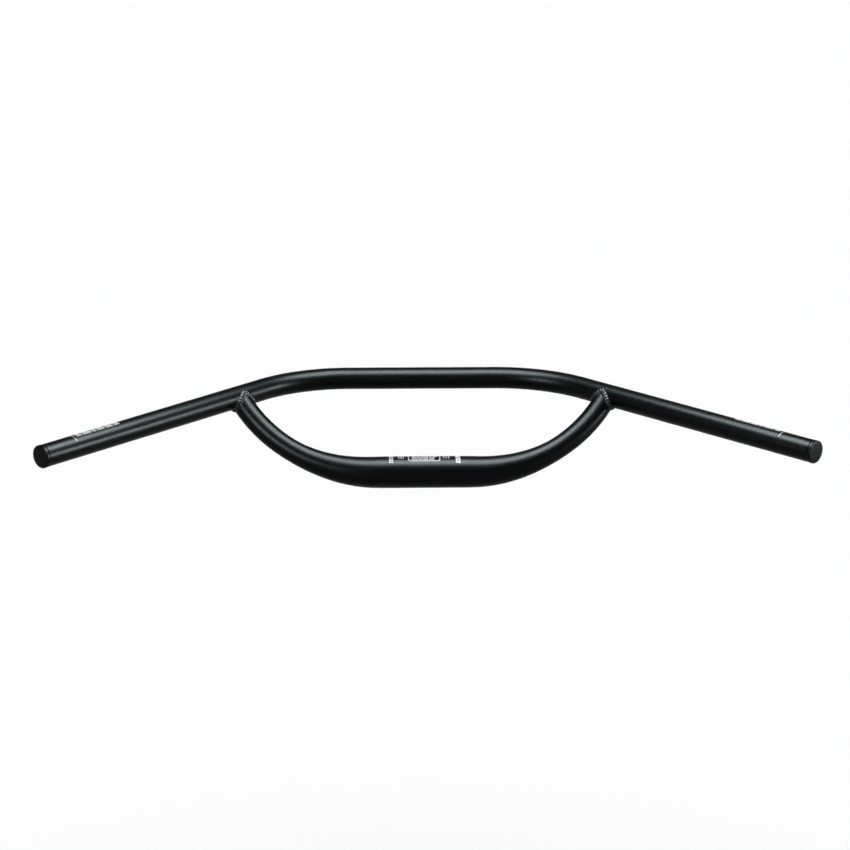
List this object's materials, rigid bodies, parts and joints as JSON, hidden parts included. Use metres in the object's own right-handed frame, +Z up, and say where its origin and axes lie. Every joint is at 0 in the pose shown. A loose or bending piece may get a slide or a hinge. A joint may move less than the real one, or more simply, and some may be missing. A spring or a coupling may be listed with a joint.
{
  "type": "loop handlebar",
  "caption": "Bicycle loop handlebar: a swept tube bent in an open loop, with a thicker tapered clamp tube welded across it and plugged grip ends.",
  "frame": {"origin": "middle of the clamp section, on its axis", "axes": "+X along the clamp section to the rider's right, +Y forward, +Z up; the loop's own plane is level, above the clamp section"},
  "size_m": [0.753, 0.2608, 0.0907],
  "materials": {
    "tube_finish": "satin",
    "weld_finish": "satin",
    "plug_plastic": "matte",
    "print_white": "matte"
  },
  "bodies": {
    "root": {"loop_tube": "tube_finish", "clamp_tube": "tube_finish", "weld_bead_left": "weld_finish", "weld_bead_right": "weld_finish", "end_plug_left": "plug_plastic", "end_plug_right": "plug_plastic"}
  },
  "joints": []
}
